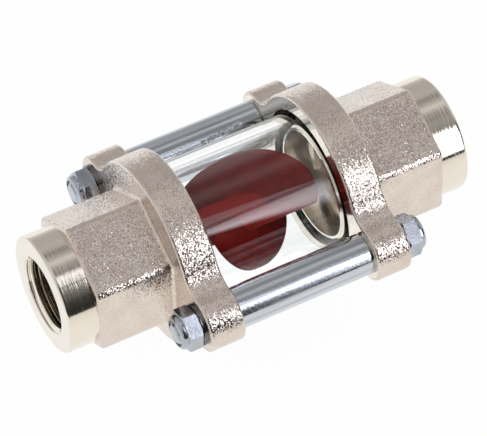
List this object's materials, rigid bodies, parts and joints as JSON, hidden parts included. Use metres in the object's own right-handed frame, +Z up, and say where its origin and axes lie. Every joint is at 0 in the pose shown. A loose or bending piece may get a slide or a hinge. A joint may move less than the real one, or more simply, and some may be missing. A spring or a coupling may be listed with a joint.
{
  "type": "impeller flow indicator",
  "caption": "In-line flow indicator: a glass tube clamped by studs between cast hexagon fittings with threaded ports, with a red rotor that turns on an axle when fluid flows.",
  "frame": {"origin": "middle of the sight glass, on the tube's axis", "axes": "+X along the tube from the inlet to the outlet, +Y towards the rear stud, +Z up"},
  "size_m": [0.116, 0.0728, 0.0502],
  "materials": {
    "nickel_brass": "nickel plated brass casting, fine cast grain outside, machined faces and bores",
    "zinc_steel": "bright zinc plated steel",
    "dark_steel": "dark plated spring steel",
    "stainless_steel": "ground stainless steel",
    "clear_glass": "clear drawn glass tube",
    "red_plastic": "red moulded plastic, satin",
    "grey_rubber": "matt grey-green sealing rubber",
    "white_nylon": "natural nylon"
  },
  "bodies": {
    "housing": {"inlet_fitting": "nickel_brass", "outlet_fitting": "nickel_brass", "inlet_bearing_bridge": "nickel_brass", "outlet_bearing_bridge": "nickel_brass", "sight_glass": "clear_glass", "inlet_gasket": "grey_rubber", "outlet_gasket": "grey_rubber", "rotor_axle": "stainless_steel", "front_stud": "zinc_steel", "rear_stud": "zinc_steel", "front_sleeve": "zinc_steel", "rear_sleeve": "zinc_steel", "front_inlet_washer": "dark_steel", "front_inlet_nut": "zinc_steel", "front_inlet_nut_insert": "white_nylon", "front_outlet_washer": "dark_steel", "front_outlet_nut": "zinc_steel", "front_outlet_nut_insert": "white_nylon", "rear_inlet_washer": "dark_steel", "rear_inlet_nut": "zinc_steel", "rear_inlet_nut_insert": "white_nylon", "rear_outlet_washer": "dark_steel", "rear_outlet_nut": "zinc_steel", "rear_outlet_nut_insert": "white_nylon"},
    "rotor": {"rotor": "red_plastic"}
  },
  "joints": [
    {"name": "rotor_spin", "type": "hinge", "parent": "housing", "child": "rotor", "pos_m": [0, 0, 0], "axis": [1, 0, 0], "continuous": true}
  ]
}
